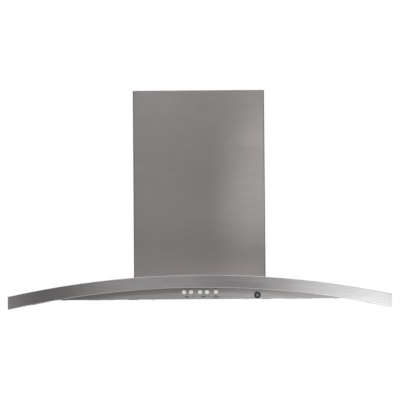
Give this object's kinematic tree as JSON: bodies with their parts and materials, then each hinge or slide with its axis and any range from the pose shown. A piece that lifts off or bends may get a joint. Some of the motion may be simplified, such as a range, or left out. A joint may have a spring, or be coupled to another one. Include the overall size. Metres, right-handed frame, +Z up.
{
  "type": "island chimney range hood",
  "caption": "Ceiling-hung kitchen extractor hood with an arched steel canopy, telescopic chimney, push-button fascia, hinged grease filters, recessed lamps and a centrifugal blower",
  "frame": {"origin": "centre of the ceiling plate's top face, which meets the ceiling", "axes": "-Y is the front with the buttons, +X is to the right seen from the front, +Z is up"},
  "size_m": [0.9, 0.65, 0.5277],
  "materials": {
    "chimney_steel": "stainless sheet, horizontal brushed grain",
    "canopy_steel": "stainless sheet, brushed grain along the arch",
    "housing_steel": "stainless sheet, horizontal brushed grain",
    "zinc_steel": "galvanised sheet with a faint spangle",
    "screw_steel": "bright zinc-plated steel",
    "motor_metal": "painted motor case",
    "black_plastic": "fine-textured black plastic",
    "circuit_green": "green board",
    "button_white": "satin white plastic",
    "badge_metal": "plain turned disc",
    "lamp_chrome": "bright chrome",
    "lamp_glass": "frosted glass",
    "bulb_glass": "pale bulb on a ceramic base",
    "capacitor_plastic": "white moulded case",
    "filter_alloy": "folded aluminium, satin",
    "latch_metal": "black sliding catch",
    "flap_alloy": "thin aluminium sheet"
  },
  "bodies": {
    "ceiling_frame": {"ceiling_plate": "zinc_steel", "upper_legs": "zinc_steel", "upper_cover_front": "chimney_steel", "upper_cover_rear": "chimney_steel", "upper_cover_screws": "screw_steel"},
    "hood": {"lower_cover_front": "chimney_steel", "lower_cover_rear": "chimney_steel", "lower_legs": "zinc_steel", "height_bolts": "screw_steel", "base_ring": "zinc_steel", "rail_left": "zinc_steel", "rail_right": "zinc_steel", "canopy_shell": "canopy_steel", "liner_left": "canopy_steel", "liner_right": "canopy_steel", "front_fascia": "housing_steel", "rear_fascia": "housing_steel", "side_panel_left": "housing_steel", "side_panel_right": "housing_steel", "bottom_pan": "housing_steel", "housing_screws": "screw_steel", "badge": "badge_metal", "switch_bank": "black_plastic", "circuit_board": "circuit_green", "control_box": "black_plastic", "lamp_housing_1": "lamp_chrome", "lamp_housing_2": "lamp_chrome", "lamp_housing_3": "lamp_chrome", "lamp_housing_4": "lamp_chrome", "lamp_lens_1": "lamp_glass", "lamp_lens_2": "lamp_glass", "lamp_lens_3": "lamp_glass", "lamp_lens_4": "lamp_glass", "lamp_bulbs": "bulb_glass", "transformer": "black_plastic", "blower_box": "zinc_steel", "scroll": "black_plastic", "motor": "motor_metal", "motor_bracket": "zinc_steel", "capacitor": "capacitor_plastic", "outlet_collar": "zinc_steel", "damper_pin": "screw_steel", "junction_box": "zinc_steel", "junction_cover": "zinc_steel"},
    "filter_left": {"filter_frame_left": "filter_alloy", "filter_baffles_left": "filter_alloy"},
    "filter_right": {"filter_frame_right": "filter_alloy", "filter_baffles_right": "filter_alloy"},
    "latch_left": {"filter_latch_left": "latch_metal"},
    "latch_right": {"filter_latch_right": "latch_metal"},
    "fan": {"blower_wheel": "black_plastic", "motor_shaft": "screw_steel"},
    "flap_left": {"damper_flap_left": "flap_alloy"},
    "flap_right": {"damper_flap_right": "flap_alloy"},
    "push_button_1": {"button_1": "button_white"},
    "push_button_2": {"button_2": "button_white"},
    "push_button_3": {"button_3": "button_white"},
    "push_button_4": {"button_4": "button_white"},
    "push_button_5": {"button_5": "button_white"}
  },
  "joints": [
    {"name": "height_adjust", "type": "slide", "parent": "ceiling_frame", "child": "hood", "axis": [0, 0, -1], "range_m": [0, 0.3]},
    {"name": "button_1_push", "type": "slide", "parent": "hood", "child": "push_button_1", "axis": [0, 1, 0], "range_m": [0, 0.002], "stiffness_N_per_m": 500, "springref_m": -0.001},
    {"name": "button_2_push", "type": "slide", "parent": "hood", "child": "push_button_2", "axis": [0, 1, 0], "range_m": [0, 0.002], "stiffness_N_per_m": 500, "springref_m": -0.001},
    {"name": "button_3_push", "type": "slide", "parent": "hood", "child": "push_button_3", "axis": [0, 1, 0], "range_m": [0, 0.002], "stiffness_N_per_m": 500, "springref_m": -0.001},
    {"name": "button_4_push", "type": "slide", "parent": "hood", "child": "push_button_4", "axis": [0, 1, 0], "range_m": [0, 0.002], "stiffness_N_per_m": 500, "springref_m": -0.001},
    {"name": "button_5_push", "type": "slide", "parent": "hood", "child": "push_button_5", "axis": [0, 1, 0], "range_m": [0, 0.002], "stiffness_N_per_m": 500, "springref_m": -0.001},
    {"name": "filter_left_hinge", "type": "hinge", "parent": "hood", "child": "filter_left", "pos_m": [-0.1615, 0.159, -0.5017], "axis": [1, 0, 0], "range_deg": [0, 80]},
    {"name": "latch_left_slide", "type": "slide", "parent": "filter_left", "child": "latch_left", "axis": [0, 1, 0], "range_m": [0, 0.006], "stiffness_N_per_m": 300, "springref_m": -0.002},
    {"name": "filter_right_hinge", "type": "hinge", "parent": "hood", "child": "filter_right", "pos_m": [0.1615, 0.159, -0.5017], "axis": [1, 0, 0], "range_deg": [0, 80]},
    {"name": "latch_right_slide", "type": "slide", "parent": "filter_right", "child": "latch_right", "axis": [0, 1, 0], "range_m": [0, 0.006], "stiffness_N_per_m": 300, "springref_m": -0.002},
    {"name": "fan_spin", "type": "hinge", "parent": "hood", "child": "fan", "pos_m": [0, 0.04204, -0.35319], "axis": [1, 0, 0], "continuous": true},
    {"name": "flap_left_hinge", "type": "hinge", "parent": "hood", "child": "flap_left", "pos_m": [0, 0, -0.20519], "axis": [0, 1, 0], "range_deg": [0, 80]},
    {"name": "flap_right_hinge", "type": "hinge", "parent": "hood", "child": "flap_right", "pos_m": [0, 0, -0.20519], "axis": [0, -1, 0], "range_deg": [0, 80]}
  ]
}
